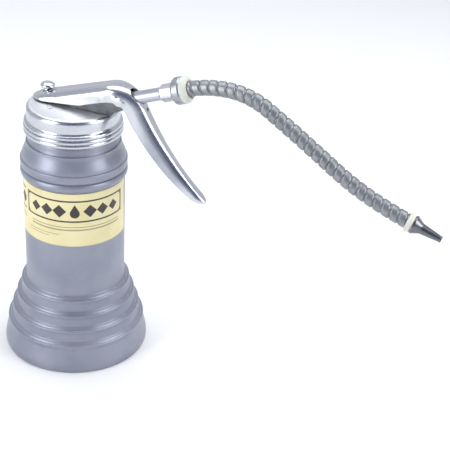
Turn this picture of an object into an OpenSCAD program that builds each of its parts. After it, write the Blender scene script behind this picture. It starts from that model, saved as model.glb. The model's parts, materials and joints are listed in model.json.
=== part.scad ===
// Pump oiler: a stepped steel can with a screw cap, a lever pump and a
// flexible metal spout. Millimetres. +Z is up and the origin is the centre of
// the base, on the surface it stands on. The spout points along +X.

/* [Can] */
// Radius of the straight tube of the can
tube_r = 25.4; // [25:0.1:26]
// Radius of the base where it is widest
base_r = 37.5; // [37.2:0.1:38.5]
// Radius of the uppermost step of the base
step_r = 27.9; // [27.7:0.1:28.1]
// Growth of the radius from one step to the next
step_grow = 2.55; // [2.4:0.05:2.6]
// Height of the uppermost step's edge
step_top = 37.3; // [37:0.1:38]
// Height from one step to the next
step_drop = 7.6; // [7.4:0.1:7.8]
// Height of the crease where the shoulder meets the tube
crease_z = 102.9; // [102.5:0.1:103.5]
// Sheet thickness of the can
can_wall = 0.8; // [0.6:0.1:0.9]

/* [Label] */
// Lower edge of the label
label_low = 68.9; // [60:0.1:75]
// Upper edge of the label
label_high = 98.0; // [90:0.1:98.2]
// How far round the can the label goes, in degrees
label_wrap = 320; // [200:5:340]
// Direction of the label's free end, in degrees from +X
label_end = 14; // [0:1:30]

/* [Cap] */
// Radius of the neck, outside, where the cap covers it
neck_r = 21.6; // [21.4:0.1:21.7]
// Radius over the cap's rolled beads
cap_bead_r = 24.45; // [24.2:0.05:24.8]
// Radius of the cap's plain upper wall
cap_r = 22.9; // [22.8:0.05:23.2]
// Height of the cap's flat top
cap_top = 134.9; // [134.7:0.1:135]

/* [Lever] */
// Half of the width of the rear arm
arm_half = 7.5; // [7.3:0.1:8]
// Half of the width where the trigger starts
trigger_half = 5.4; // [4:0.1:6]
// Sheet thickness of the lever
lever_t = 0.9; // [0.7:0.1:1]
// Slope of the rear arm and of its top, in degrees
arm_tilt = 18.26; // [18:0.02:18.6]
// Fulcrum, as X and Z
fulcrum = [28.3, 144]; // [10:0.1:200]
// Radius of the bend between arm and trigger
bend_r = 17; // [16.5:0.1:17.5]
// Angle that the bend turns through
bend_turn = 80.6; // [80:0.1:84]
// Radius of the trigger's long outward curve
trigger_r = 137; // [110:1:140]
// Length of the trigger along its front
trigger_len = 54; // [45:0.5:56]
// Travel of the lever, in degrees
lever_travel = 14; // [10:0.5:14]

/* [Pump] */
// X of the plunger rod
rod_x = -14.2; // [-14.4:0.1:-14]
// Radius of the plunger rod
rod_r = 1.6; // [1.5:0.05:1.6]
// Outer radius of the barrel
barrel_r = 5.6; // [5.5:0.05:5.7]
// Inner radius of the barrel
barrel_bore = 4.9; // [4.8:0.05:4.95]
// Lower end of the barrel
barrel_low = 84; // [84:0.5:84]
// Lower end of the suction tube
suction_low = 8; // [8:0.5:20]

/* [Spout] */
// Slope of the spout tube, in degrees
spout_tilt = 20.6; // [20:0.1:21]
// Outer radius of the spout tube
spout_r = 3.1; // [3:0.05:3.1]
// Across flats of the spout tube's hexagon
hex_flats = 8; // [7.6:0.1:8.4]
// How far the hexagon is turned about the spout tube, in degrees
hex_spin = 13; // [0:1:60]
// Radius of the plated collar
collar_r = 6.5; // [6:0.1:7]
// Radius of the rear nylon ring
ring_r = 6.4; // [6:0.1:6.8]
// Outer radius of the flexible hose
hose_r = 3.65; // [3.5:0.05:3.7]
// Length of each of the six lengths of hose
hose_len = 19.87; // [18:0.01:21]
// Resting bend of each length of hose, in degrees, up is positive
hose_turn = [-21, -30.4, -1.6, -1, 9.3, 6.6]; // [-35:0.1:15]
// Radius of the front nylon ring
front_ring_r = 4.55; // [4.3:0.05:4.8]
// Length of the nozzle
nozzle_len = 14.4; // [12:0.1:16]

/* [Hidden] */
$fn = 96;
eps = 0.02;

// Smooth step from 0 to 1
function ease(t) = let (c = min(1, max(0, t))) c * c * (3 - 2 * c);

// ---- can profile: [radius, height], from the foot upwards ----
step_n = 4;
step_foot = 5.2;
function step_z(k) = step_top - step_drop * k;
function step_rad(k) = step_r + step_grow * k;
flare_top = step_z(step_n - 1) - 2;
foot_corner = 1.9;
// Foot corner, then the flared wall up to the lowest step
foot_pts = concat(
  [for (a = [-90 : 15 : 0]) [base_r - foot_corner + foot_corner * cos(a), foot_corner + foot_corner * sin(a)]],
  [for (i = [1 : 8]) let (t = i / 8) [
    base_r - (base_r - step_rad(step_n - 1) + 0.1) * ease(t),
    3 + (flare_top - 3) * t
  ]]
);
// Edge and ledge of one step, relative to its edge: [radius, height]
step_shape = [[-0.05, -0.9], [0.05, -0.2], [-0.1, 0.5], [-0.5, 1.05], [-1.1, 1.5], [-1.75, 1.85]];
function step_pts(k) = concat(
  k == step_n - 1 ? [] : [[step_rad(k) + 0.3, step_z(k) - step_foot]],
  [for (p = step_shape) [step_rad(k) + p[0], step_z(k) + p[1]]]
);
ridge_low = 98.5;
ridge_pts = [for (i = [0 : 8]) let (t = i / 8) [
  tube_r + 0.45 * t + 1.05 * sin(180 * t),
  ridge_low + (crease_z - ridge_low) * t
]];
can_pts = concat(
  foot_pts,
  step_pts(3), step_pts(2), step_pts(1), step_pts(0),
  [[tube_r + 0.15, step_top + 2.4], [tube_r, step_top + 3.3]],
  ridge_pts
);

// ---- shoulder and neck profile ----
neck_top = 132.9;
breast_r = 26.6;
lip_r = tube_r + 0.45 - can_wall - 0.03;
shoulder_pts = concat(
  [for (i = [0 : 5]) let (t = i / 5) [tube_r + 0.45 + 0.75 * sin(90 * t), crease_z + eps + 3 * t]],
  [for (i = [0 : 14]) let (t = i / 14) [breast_r - 3.9 * ease(t), 108.3 + 9.5 * t]],
  [[22.45, 118.4], [22.3, 119.2], [22.25, 121]]
);

// ---- cap profile ----
bead_n = 3;
bead_low = 122.225;
bead_step = 2.05;
bead_depth = 0.5;
function bead_crest(i) = cap_bead_r - 0.3 * pow(max(0, i - 1), 2);
corner_r = 1.9;
cap_outer = concat(
  [for (i = [0 : bead_n - 1], a = [-90 : 30 : 90])
    [bead_crest(i) - bead_depth * (1 - cos(a)), bead_low + bead_step * i + 0.5 * bead_step * sin(a)]],
  [[cap_r - 0.15, 128.1], [cap_r, 128.9]],
  [for (a = [0 : 15 : 90])
    [cap_r - corner_r + corner_r * cos(a), cap_top - corner_r + corner_r * sin(a)]]
);
cap_plate = 0.8;
plate_low = cap_top - cap_plate;
cap_inner_r = 22.2;

// ---- lever path: the front of its web, from the rear end to the tip ----
rear_x = -21.6;
rear_round_x = rear_x + arm_half;
web_off = 8.3;
arm_dir = [cos(arm_tilt), sin(arm_tilt)];
arm_up = [-sin(arm_tilt), cos(arm_tilt)];
// Foot of the fulcrum on the top of the arm, and the bend's start
web_foot = fulcrum + web_off * arm_up;
bend_start_s = (19.2 - web_foot[0]) / arm_dir[0];
bend_start = web_foot + bend_start_s * arm_dir;
arm_len = (bend_start[0] - rear_x) / arm_dir[0];
bend_c = bend_start - bend_r * arm_up;
bend_len = bend_r * bend_turn * PI / 180;
trigger_dir = arm_tilt - bend_turn;
bend_end = bend_c + bend_r * [cos(trigger_dir + 90), sin(trigger_dir + 90)];
trigger_c = bend_end + trigger_r * [cos(trigger_dir + 90), sin(trigger_dir + 90)];
path_len = arm_len + bend_len + trigger_len;
function path_angle(s) =
  s < arm_len ? arm_tilt :
  s < arm_len + bend_len ? arm_tilt - (s - arm_len) / bend_r * 180 / PI :
  trigger_dir + (s - arm_len - bend_len) / trigger_r * 180 / PI;
function path_point(s) = let (a = path_angle(s))
  s < arm_len ? bend_start + (s - arm_len) * arm_dir :
  s < arm_len + bend_len ? bend_c + bend_r * [cos(a + 90), sin(a + 90)] :
  trigger_c + trigger_r * [cos(a - 90), sin(a - 90)];
function path_in(s, d) = let (a = path_angle(s)) path_point(s) + d * [sin(a), -cos(a)];
// Depth of the side flanges at stations along the lever
flange_depth = [
  [0, 1], [8, 3.55], [22.7, 6.9], [28, 7.9], [36, 7.7], [52, 8.1], [60, 8.4], [69, 8.8],
  [85, 8], [98, 7], [107, 5.8], [115.5, 4.3], [121.5, 2.2]
];
arm_stations = [0, 4, 8, 13, 18, 22.7, 28, 32, 36, 40];
bend_stations = [for (i = [0 : 11]) arm_len + bend_len * i / 12];
trigger_stations = [for (i = [0 : 14]) arm_len + bend_len + trigger_len * i / 14];
stations = concat(arm_stations, bend_stations, trigger_stations);
// Half width of the lever at x, and of the hollow inside it
taper_from = 22;
taper_to = 42;
trigger_taper = 2;
tip_from = 69.8;
tip_to = 74.2;
function half_width(x) =
  x < rear_round_x ? sqrt(max(0, pow(arm_half, 2) - pow(x - rear_round_x, 2))) :
  x < taper_to ? arm_half - (arm_half - trigger_half) * ease((x - taper_from) / (taper_to - taper_from)) :
  x < tip_from ? trigger_half - trigger_taper * (x - taper_to) / (tip_from - taper_to) :
  (trigger_half - trigger_taper) * sqrt(max(0, 1 - pow((x - tip_from) / (tip_to - tip_from), 2)));
plan_x = concat(
  [for (a = [0 : 15 : 75]) rear_round_x - arm_half * cos(a)],
  [rear_round_x],
  [for (i = [0 : 10]) taper_from + (taper_to - taper_from) * i / 10],
  [tip_from],
  [for (a = [15 : 15 : 90]) tip_from + (tip_to - tip_from) * sin(a)]
);
hollow_x = concat(
  [for (a = [0 : 15 : 75]) rear_round_x - (arm_half - lever_t) * cos(a)],
  [rear_round_x],
  [for (i = [0 : 10]) taper_from + (taper_to - taper_from) * i / 10],
  [tip_from]
);
function hollow_width(x) =
  x < rear_round_x ? sqrt(max(0, pow(arm_half - lever_t, 2) - pow(x - rear_round_x, 2))) :
  half_width(x) - lever_t;

// ---- spout line ----
spout_dir = [cos(spout_tilt), sin(spout_tilt)];
spout_zero = [fulcrum[0], fulcrum[1] - 1.15];
nose_shoulder = 2.6;
nose_end = 4.6;
tube_in = -3;
hex_from = 20.8;
hex_to = 28.2;
collar_to = 32.7;
ring_to = 36;
hose_start = spout_zero + ring_to * spout_dir;
// Direction and start of each length of hose
function hose_dir(k) = k == 0 ? spout_tilt : hose_dir(k - 1) + hose_turn[k - 1];
function hose_at(k) = k == 0 ? hose_start :
  let (d = hose_dir(k - 1), t = hose_turn[k - 1], r = hose_len / (t * PI / 180))
  hose_at(k - 1) + r * [sin(d + t) - sin(d), cos(d) - cos(d + t)];
hose_gap = 1;
liner_gap = 0.6;
liner_r = 2.25;
liner_bore = 1.4;
hose_bore = 2.3;
front_len = 2.8;

// ---- pump heights ----
barrel_top = 126.8;
chamber_top = 131.6;
stem_x = 3;
stem_r = 4.5;
stem_low = 129.5;
head_half = 4.8;
stud_r = 1.6;
stud_head_r = 2.9;
foot_seat = 86;
foot_ball_r = 1.9;
foot_bore = 1.3;
piston_low = 91.5;
piston_r = 4.8;
cup_low = 93.5;
nut_low = 96.5;
spring_low = 99.1;
spring_high = chamber_top - 0.05;
outlet_ball_r = 1.5;
outlet_seat = 131;
outlet_bore = 1.1;
outlet_ball_z = outlet_seat + sqrt(pow(outlet_ball_r, 2) - pow(outlet_bore, 2)) + eps;
outlet_roof = 139;
drill_z = 136.9;
drill_u = (drill_z - spout_zero[1]) / spout_dir[1];
boss_r = 3.2;
boss_y = 7;

// Turn a shape drawn in X and Y up into X and Z, centred on Y = 0
module upright(width) {
  rotate([90, 0, 0]) linear_extrude(width, center = true) children();
}

// Place children at distance u along the spout line, their Z along it
module on_spout(u) {
  p = spout_zero + u * spout_dir;
  translate([p[0], 0, p[1]]) rotate([0, 90 - spout_tilt, 0]) children();
}

// Plain ring or washer
module ring(ro, ri, low, high) {
  translate([0, 0, low]) difference() {
    cylinder(r = ro, h = high - low);
    translate([0, 0, -1]) cylinder(r = ri, h = high - low + 2);
  }
}

// Bent tube in the plane of X and Z, from point p in direction d, turning by t
module bent_tube(p, d, t, len, ro, ri, cut_a, cut_b) {
  r = len / abs(t) * 180 / PI;
  up = t > 0 ? 1 : -1;
  a0 = cut_a / len * abs(t);
  a1 = abs(t) - cut_b / len * abs(t);
  c = p + r * up * [-sin(d), cos(d)];
  first = up > 0 ? d - 90 + a0 : d + 90 - a1;
  translate([c[0], 0, c[1]]) rotate([90, 0, 0]) rotate([0, 0, first])
    rotate_extrude(angle = a1 - a0) translate([r, 0]) difference() {
      circle(ro);
      circle(ri);
    }
}

// Round wire coil of rectangular section
module coil(mean_r, wire, low, high, turns) {
  rise = high - low - wire;
  arc = wire / (rise / turns) * 360;
  translate([0, 0, low])
    linear_extrude(height = rise + wire, twist = -360 * (turns + wire / rise * turns), $fn = 24)
      polygon(concat(
        [for (i = [0 : 4]) (mean_r - wire / 2) * [cos(-arc * i / 4), sin(-arc * i / 4)]],
        [for (i = [4 : -1 : 0]) (mean_r + wire / 2) * [cos(-arc * i / 4), sin(-arc * i / 4)]]
      ));
}

// Stepped steel can, open at both ends, with its foot turned inwards
module body_shell() {
  inner = concat(
    [for (p = can_pts) if (p[1] > foot_corner) [p[0] - can_wall, max(p[1], 0)]]
  );
  color("slategray") rotate_extrude() polygon(concat(
    [[34.9, 0]], can_pts,
    [for (i = [len(inner) - 1 : -1 : 0]) inner[i]],
    [[base_r - can_wall - 0.4, foot_corner], [base_r - can_wall - 1.2, can_wall], [34.9, can_wall]]
  ));
}

// Rounded breast and neck, with the thread that the cap turns on
module shoulder() {
  n = len(shoulder_pts);
  color("slategray") union() {
    rotate_extrude() polygon(concat(
      shoulder_pts,
      [[neck_r, 121.6], [neck_r, neck_top - 0.3], [neck_r - 0.3, neck_top], [neck_r - 0.6, neck_top],
       [neck_r - 0.8, neck_top - 0.3], [neck_r - 0.8, 119]],
      [for (i = [n - 4 : -1 : 0]) [shoulder_pts[i][0] - can_wall, shoulder_pts[i][1]]]
    ));
    ring(lip_r, tube_r - 1.1, crease_z - 3.5, crease_z + 1.2);
    ring(lip_r + 0.5, tube_r - 1.1, crease_z + 0.2, crease_z + 1.2);
    for (i = [0 : 2]) translate([0, 0, 123.4 + 2.9 * i])
      rotate_extrude() polygon([[neck_r - 0.3, -0.55], [neck_r + 0.3, -0.15], [neck_r + 0.3, 0.15], [neck_r - 0.3, 0.55]]);
  }
}

// Flat bottom, lapped over the turned-in foot
module bottom_plate() {
  color("slategray") difference() {
    union() {
      cylinder(r = 34.85, h = can_wall + 0.05);
      ring(35.4, 30, can_wall + 0.05, can_wall + 0.75);
    }
    ring(29, 26, -1, 0.3);
  }
}

// Paper label
module label() {
  color("palegoldenrod") rotate([0, 0, label_end - label_wrap])
    rotate_extrude(angle = label_wrap) translate([tube_r + eps, label_low]) square([0.15, label_high - label_low]);
}

// Soft ring on the neck's rim
module cap_gasket() {
  color("saddlebrown") ring(22, 20.6, neck_top + eps, 133.6);
}

// Thin ring that lets the cap turn on the gasket
module slip_ring() {
  color("gainsboro") ring(22, 20.6, 133.62, 134.05);
}

// Pressed cap with rolled beads, drilled for the pump
module screw_cap() {
  color("lightsteelblue") difference() {
    rotate_extrude() polygon(concat(
      [[cap_inner_r + 1.35, bead_low - 0.5 * bead_step]], cap_outer, [[0, cap_top], [0, plate_low]],
      [[cap_inner_r - 0.12, plate_low], [cap_inner_r, plate_low - 0.2], [cap_inner_r, 127.6], [cap_inner_r + 0.4, 126.4],
       [cap_inner_r + 1.2, 124.9], [cap_inner_r + 1.2, 122.2]]
    ));
    translate([stem_x, 0, plate_low - 1]) cylinder(r = stem_r + eps, h = 3);
    translate([rod_x, 0, plate_low - 1]) cylinder(r = rod_r + 0.6, h = 3);
    translate([-7, -10.3, plate_low - 1]) cylinder(r = 0.8, h = 3);
  }
}

// Small stud in the cap that lets air in as oil goes out
module vent_stud() {
  color("lightsteelblue") translate([-7, -10.3, 0]) difference() {
    union() {
      ring(0.78, 0.3, plate_low - 0.6, cap_top + 0.3);
      translate([0, 0, cap_top]) cylinder(r1 = 1.3, r2 = 1, h = 0.5);
    }
    translate([0, 0, plate_low - 1]) cylinder(r = 0.3, h = 4);
  }
}

// Casting on top of the cap: rod guide, oil passage, nose for the spout tube
module pump_head() {
  color("silver") difference() {
    union() {
      upright(2 * head_half) polygon([
        [-18.3, cap_top], [20.3, cap_top], [29.2, 138.9], [29.8, 142.4], [27.3, 146.4],
        [22, 147.5], [16, 146.9], [-18.3, 135.7]
      ]);
      translate([stem_x, 0, stem_low]) cylinder(r = stem_r, h = cap_top - stem_low + 1);
      on_spout(-10) cylinder(r = 4.2, h = 10 + nose_shoulder);
      on_spout(nose_shoulder) cylinder(r1 = 4.2, r2 = 3.4, h = nose_end - nose_shoulder);
    }
    on_spout(tube_in) cylinder(r = spout_r + 0.01, h = 12);
    on_spout(drill_u) cylinder(r = 1.2, h = tube_in - drill_u + 1);
    translate([stem_x, 0, drill_z]) rotate([0, 90, 0])
      cylinder(r = 1.5, h = spout_zero[0] + drill_u * spout_dir[0] - stem_x + 1);
    translate([stem_x, 0, stem_low - 1]) cylinder(r = outlet_bore, h = outlet_seat - stem_low + 2);
    translate([stem_x, 0, outlet_seat]) cylinder(r = 1.95, h = outlet_roof - outlet_seat);
    translate([rod_x, 0, cap_top - 1]) cylinder(r = 2.6, h = 2.7);
    translate([rod_x, 0, cap_top]) cylinder(r = rod_r + 0.08, h = 6);
    for (s = [-1, 1]) translate([fulcrum[0], s * (head_half - 0.7), fulcrum[1]])
      rotate([90, 0, 0]) cylinder(r = stud_r + 0.06, h = 1.6, center = true);
  }
}

// Casting under the cap: holds the barrel and leads the oil to the stem
module pump_body() {
  top = plate_low - 0.03;
  color("silver") difference() {
    union() {
      translate([rod_x, 0, 118]) cylinder(r = 6.1, h = top - 118);
      translate([stem_x, 0, 125.6]) cylinder(r = 6.2, h = top - 125.6);
      translate([rod_x, -4.5, 125.6]) cube([stem_x - rod_x, 9, top - 125.6]);
    }
    translate([rod_x, 0, 117]) cylinder(r = barrel_r + 0.01, h = barrel_top - 117);
    translate([rod_x, 0, 117]) cylinder(r = barrel_bore, h = chamber_top - 117);
    translate([rod_x, 0, 130]) cylinder(r = rod_r + 0.08, h = 6);
    translate([stem_x, 0, stem_low]) cylinder(r = stem_r + 0.01, h = 6);
    translate([stem_x, 0, 127.2]) cylinder(r = 3, h = 3);
    translate([rod_x, 0, 128.5]) rotate([0, 90, 0]) cylinder(r = 1.2, h = stem_x - rod_x);
  }
}

// Soft packing that seals the rod
module rod_packing() {
  color("dimgray") translate([rod_x, 0, 0]) ring(2.58, rod_r + 0.04, cap_top + 0.05, cap_top + 1.65);
}

// Brass pump barrel
module pump_barrel() {
  color("goldenrod") translate([rod_x, 0, 0]) ring(barrel_r, barrel_bore, barrel_low, barrel_top);
}

// Brass foot valve with its ball seat and the nipple for the suction tube
module foot_valve() {
  color("goldenrod") translate([rod_x, 0, 0]) difference() {
    union() {
      translate([0, 0, barrel_low]) cylinder(r = barrel_bore - 0.01, h = 6.8);
      translate([0, 0, 82]) cylinder(r = barrel_r, h = barrel_low - 82 - 0.01);
      translate([0, 0, 76]) cylinder(r = 1.9, h = 9);
    }
    translate([0, 0, 75]) cylinder(r = foot_bore, h = 20);
    translate([0, 0, foot_seat]) cylinder(r = 2.3, h = 4.2);
    translate([0, 0, 90]) cylinder(r = 1.5, h = 3);
  }
}

// Ball of the foot valve
module foot_ball() {
  z = foot_seat + sqrt(pow(foot_ball_r, 2) - pow(foot_bore, 2)) + eps;
  color("silver") translate([rod_x, 0, z]) sphere(foot_ball_r);
}

// Tube down to the bottom of the can
module suction_tube() {
  color("burlywood") translate([rod_x, 0, 0]) ring(2.6, 1.92, suction_low, 81.9);
}

// Strainer cup on the suction tube
module strainer() {
  color("goldenrod") translate([rod_x, 0, 0]) difference() {
    translate([0, 0, suction_low - 3.5]) cylinder(r = 4, h = 8);
    translate([0, 0, suction_low - 2.8]) cylinder(r = 3.3, h = 2.8);
    translate([0, 0, suction_low - 0.2]) cylinder(r = 2.61, h = 6);
    for (a = [0 : 45 : 315]) rotate([0, 0, a]) translate([3, 0, suction_low - 1.5]) rotate([0, 90, 0]) cylinder(r = 0.6, h = 2);
  }
}

// Spring that presses the piston down
module return_spring() {
  color("darkgray") translate([rod_x, 0, 0]) coil(3.6, 0.9, spring_low, spring_high, 8);
}

// Light spring behind the outlet ball
module outlet_spring() {
  color("darkgray") translate([stem_x, 0, 0]) coil(1.4, 0.4, outlet_ball_z + 1, outlet_roof - 0.05, 6);
}

// Steel ball of the outlet valve
module outlet_ball() {
  color("silver") translate([stem_x, 0, outlet_ball_z]) sphere(outlet_ball_r);
}

// Plunger rod
module plunger_rod() {
  color("lightsteelblue") translate([rod_x, 0, 91]) cylinder(r = rod_r, h = 49.3);
}

// Flattened ball on the rod, which the lever lifts
module rod_button() {
  color("lightsteelblue") translate([rod_x, 0, 141.25]) difference() {
    rotate_extrude() polygon(concat([for (a = [-90 : 10 : 90]) [3.6 * cos(a), 1.75 * sin(a)]]));
    translate([0, 0, -3]) cylinder(r = rod_r + 0.01, h = 2.06);
  }
}

// Brass piston plate with its oil ports
module piston() {
  color("goldenrod") translate([rod_x, 0, 0]) difference() {
    ring(piston_r, rod_r + 0.01, piston_low, cup_low);
    for (a = [0 : 60 : 300]) rotate([0, 0, a]) translate([3.2, 0, 90]) cylinder(r = 0.6, h = 5);
  }
}

// Cup seal, open upwards
module piston_cup() {
  color("sienna") translate([rod_x, 0, cup_low]) rotate_extrude() polygon([
    [rod_r + 0.01, 0.01], [4.4, 0.01], [barrel_bore - 0.03, 1], [barrel_bore - 0.03, 2.9], [4.3, 2.9], [4.2, 1.2],
    [3.4, 0.9], [rod_r + 0.01, 0.9]
  ]);
}

// Flanged nut that holds the piston and seats the spring
module piston_nut() {
  color("silver") translate([rod_x, 0, 0]) union() {
    ring(2.7, rod_r + 0.01, cup_low + 0.92, nut_low);
    difference() {
      translate([0, 0, nut_low]) cylinder(r = 3.1, h = 1.6, $fn = 6);
      translate([0, 0, nut_low - 1]) cylinder(r = rod_r + 0.01, h = 4);
    }
    ring(4.3, rod_r + 0.01, nut_low + 1.6, nut_low + 2.5);
  }
}

// Stamped channel lever: rear arm, bend and trigger
module lever() {
  outer_side = concat(
    [for (s = stations) path_point(s)],
    [for (i = [len(stations) - 1 : -1 : 0]) path_in(stations[i], lookup(stations[i], flange_depth))]
  );
  hollow_st = [for (s = stations) if (s < path_len - 3) s];
  inner_side = concat(
    [for (s = hollow_st) path_in(s, lever_t)],
    [for (i = [len(hollow_st) - 1 : -1 : 0]) path_in(hollow_st[i], lookup(hollow_st[i], flange_depth) + 1.5)]
  );
  plan = concat(
    [for (x = plan_x) [x, half_width(x)]],
    [for (i = [len(plan_x) - 1 : -1 : 0]) [plan_x[i], -half_width(plan_x[i])]]
  );
  hollow_plan = concat(
    [for (x = hollow_x) [x, hollow_width(x)]],
    [for (i = [len(hollow_x) - 1 : -1 : 0]) [hollow_x[i], -hollow_width(hollow_x[i])]]
  );
  rod_hole = web_foot - 42 * arm_dir;
  color("lightsteelblue") difference() {
    union() {
      difference() {
        intersection() {
          upright(20) polygon(outer_side);
          translate([0, 0, 90]) linear_extrude(70) polygon(plan);
        }
        intersection() {
          upright(20) polygon(inner_side);
          translate([0, 0, 90]) linear_extrude(70) polygon(hollow_plan);
        }
      }
      for (s = [-1, 1]) translate([fulcrum[0], 0, fulcrum[1]]) rotate([-90 * s, 0, 0])
        translate([0, 0, boss_y - 1.3]) cylinder(r = boss_r, h = 1.3);
      for (s = [-1, 1]) translate([20, 0, fulcrum[1]]) rotate([-90 * s, 0, 0])
        translate([0, 0, arm_half - 0.3]) cylinder(r1 = 2.8, r2 = 1.8, h = 0.7);
    }
    // Flats for the heads of the fulcrum studs
    for (s = [-1, 1]) translate([fulcrum[0], 0, fulcrum[1]]) rotate([-90 * s, 0, 0])
      translate([0, 0, boss_y]) cylinder(r = boss_r, h = 3);
    // Hole for the plunger rod
    translate([rod_hole[0], 0, rod_hole[1]]) rotate([0, -arm_tilt, 0]) cylinder(r = 2.6, h = 4, center = true);
    // Slot for the spout tube, long enough for the lever's travel
    for (a = [0 : lever_travel / 3 : lever_travel])
      translate([fulcrum[0], 0, fulcrum[1]]) rotate([0, -a, 0]) translate([0, 0, spout_zero[1] - fulcrum[1]])
        rotate([0, 90 - spout_tilt, 0]) translate([0, 0, 2]) cylinder(r = spout_r + 0.4, h = 14);
    // Holes for the fulcrum studs
    translate([fulcrum[0], 0, fulcrum[1]]) rotate([90, 0, 0]) cylinder(r = stud_r + 0.01, h = 20, center = true);
    // Small hole in the web below the slot
    translate([40, 0, 140.6]) rotate([0, 60, 0]) cylinder(r = 1.2, h = 6, center = true);
  }
}

// Two studs that the lever turns on, riveted in its flanges
module fulcrum_studs() {
  color("lightsteelblue") for (s = [-1, 1]) translate([fulcrum[0], 0, fulcrum[1]]) rotate([-90 * s, 0, 0]) union() {
    translate([0, 0, head_half - 1.4]) cylinder(r = stud_r, h = boss_y - head_half + 1.6);
    translate([0, 0, boss_y + eps]) cylinder(r1 = stud_head_r, r2 = stud_head_r - 0.9, h = 0.6);
  }
}

// Spout tube with its hexagon
module spout_tube() {
  color("lightsteelblue") on_spout(0) difference() {
    union() {
      translate([0, 0, tube_in]) cylinder(r = spout_r, h = hex_to - tube_in);
      intersection() {
        translate([0, 0, hex_from]) rotate([0, 0, -hex_spin])
          cylinder(r = hex_flats / 2 / cos(30), h = hex_to - hex_from, $fn = 6);
        translate([0, 0, hex_from - 0.8]) cylinder(r1 = 3, r2 = 12, h = 9);
      }
    }
    translate([0, 0, tube_in - 1]) cylinder(r = 1.2, h = hex_to - tube_in + 2);
  }
}

// Plated collar at the root of the hose
module spout_collar() {
  color("lightsteelblue") on_spout(0) difference() {
    rotate_extrude() polygon([
      [0, hex_to], [collar_r - 0.7, hex_to], [collar_r, hex_to + 0.7], [collar_r, collar_to - 0.5],
      [collar_r - 0.5, collar_to], [0, collar_to]
    ]);
    translate([0, 0, hex_to - 1]) cylinder(r = 1.2, h = 6);
  }
}

// White nylon ring behind the hose
module rear_ring() {
  color("ivory") on_spout(0) difference() {
    rotate_extrude() polygon([
      [0, collar_to], [ring_r - 0.3, collar_to], [ring_r, collar_to + 0.4], [ring_r, collar_to + 1.5],
      [ring_r - 1.7, ring_to], [0, ring_to]
    ]);
    translate([0, 0, collar_to - 1]) cylinder(r = liner_bore, h = 8);
  }
}

// One length of strip-wound hose; the gaps at the ends let it bend
module hose(k) {
  color("darkgray") bent_tube(hose_at(k), hose_dir(k), hose_turn[k], hose_len, hose_r, hose_bore,
    k == 0 ? 0.02 : hose_gap, k == 5 ? 0.02 : hose_gap);
}

// One length of the soft liner inside the hose
module liner(k) {
  color("ivory") bent_tube(hose_at(k), hose_dir(k), hose_turn[k], hose_len, liner_r, liner_bore,
    k == 0 ? 0.02 : liner_gap, k == 5 ? 0.02 : liner_gap);
}

module hose_1() { hose(0); }
module hose_2() { hose(1); }
module hose_3() { hose(2); }
module hose_4() { hose(3); }
module hose_5() { hose(4); }
module hose_6() { hose(5); }
module liner_1() { liner(0); }
module liner_2() { liner(1); }
module liner_3() { liner(2); }
module liner_4() { liner(3); }
module liner_5() { liner(4); }
module liner_6() { liner(5); }

// Put children at the end of the hose, their Z along it
module at_hose_end() {
  p = hose_at(6);
  translate([p[0], 0, p[1]]) rotate([0, 90 - hose_dir(6), 0]) children();
}

// White nylon ring at the front of the hose
module front_ring() {
  color("ivory") at_hose_end() difference() {
    rotate_extrude() polygon([
      [0, 0], [front_ring_r - 0.6, 0], [front_ring_r, 0.6], [front_ring_r, front_len - 0.3],
      [front_ring_r - 0.3, front_len], [0, front_len]
    ]);
    translate([0, 0, -1]) cylinder(r = liner_bore, h = 6);
  }
}

// Dark steel nozzle
module nozzle() {
  color("darkslategray") at_hose_end() translate([0, 0, front_len]) difference() {
    rotate_extrude() polygon([
      [0, 0], [4.1, 0], [4.3, 0.3], [4.3, 0.9], [2.65, 4.1], [2.5, 5], [1.45, nozzle_len - 0.9],
      [1.5, nozzle_len - 0.6], [1.5, nozzle_len - 0.2], [1.3, nozzle_len], [0, nozzle_len]
    ]);
    translate([0, 0, -1]) cylinder(r = 0.7, h = nozzle_len + 2);
  }
}

body_shell();
shoulder();
bottom_plate();
label();
cap_gasket();
slip_ring();
screw_cap();
vent_stud();
pump_head();
pump_body();
rod_packing();
pump_barrel();
foot_valve();
suction_tube();
strainer();
return_spring();
outlet_spring();
spout_tube();
spout_collar();
rear_ring();
lever();
fulcrum_studs();
plunger_rod();
rod_button();
piston();
piston_cup();
piston_nut();
foot_ball();
outlet_ball();
hose_1();
hose_2();
hose_3();
hose_4();
hose_5();
hose_6();
liner_1();
liner_2();
liner_3();
liner_4();
liner_5();
liner_6();
front_ring();
nozzle();
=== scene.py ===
"""Looks of the pump oiler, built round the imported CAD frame. Sizes in this file are in millimetres."""
import json
import math

import bpy
import bmesh
from mathutils import Matrix, Vector


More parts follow.
